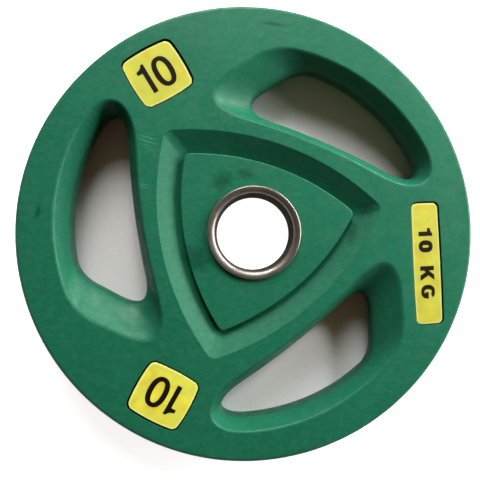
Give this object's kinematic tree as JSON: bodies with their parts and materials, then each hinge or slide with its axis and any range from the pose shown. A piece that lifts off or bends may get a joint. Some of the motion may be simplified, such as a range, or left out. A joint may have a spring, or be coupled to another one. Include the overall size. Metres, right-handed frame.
{
  "type": "urethane weight plate",
  "caption": "Round urethane-covered weight plate with a steel-lined bar bore, a raised triangular hub pad and leaf-shaped grip openings.",
  "frame": {"origin": "bore axis in the plane of the back face", "axes": "+Z along the bore axis out of the numbered front face; +Y towards the upper edge as the number badges are seen; +X towards the side label"},
  "size_m": [0.294, 0.294, 0.0364],
  "materials": {
    "green_urethane": "satin moulded urethane",
    "yellow_urethane": "satin moulded urethane",
    "cast_iron": "raw casting, covered",
    "brushed_steel": "turned and brushed"
  },
  "bodies": {
    "root": {"urethane_cover": "green_urethane", "iron_core": "cast_iron", "hub_sleeve": "brushed_steel", "front_collar": "brushed_steel", "back_collar": "brushed_steel", "number_badge_upper": "yellow_urethane", "number_badge_lower": "yellow_urethane", "side_label": "yellow_urethane"}
  },
  "joints": []
}
